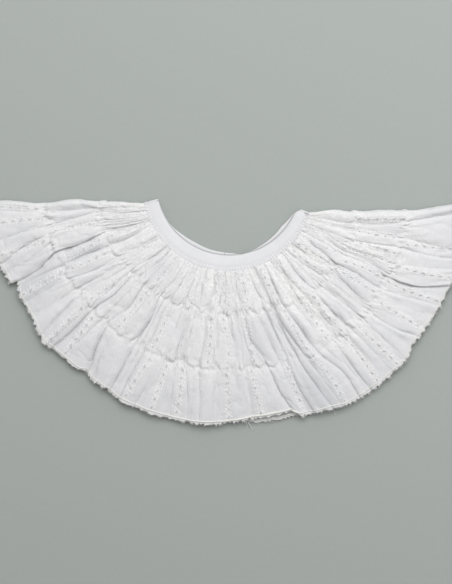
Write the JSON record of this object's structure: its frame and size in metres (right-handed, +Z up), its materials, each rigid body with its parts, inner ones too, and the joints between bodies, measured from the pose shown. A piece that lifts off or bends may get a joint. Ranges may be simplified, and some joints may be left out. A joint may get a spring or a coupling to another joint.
{
  "type": "ruff collar",
  "caption": "White cotton ruff collar, a frill gathered in three puffed bands to a plain neckband, folded in half at the shoulders and laid flat.",
  "frame": {"origin": "centre of the collar's plan, on the surface it lies on", "axes": "+X towards the shoulder fold on the viewer's right, +Y from the front hem towards the neck opening and the shoulder folds, +Z up out of the surface"},
  "size_m": [0.4893, 0.2249, 0.0123],
  "materials": {
    "frill_cotton": "fine openwork cotton lawn, soft and matt",
    "band_cotton": "smooth doubled cotton, matt, faintly blue white"
  },
  "bodies": {
    "root": {"neckband": "band_cotton", "frill_front": "frill_cotton", "frill_back_left": "frill_cotton", "frill_back_right": "frill_cotton"}
  },
  "joints": []
}
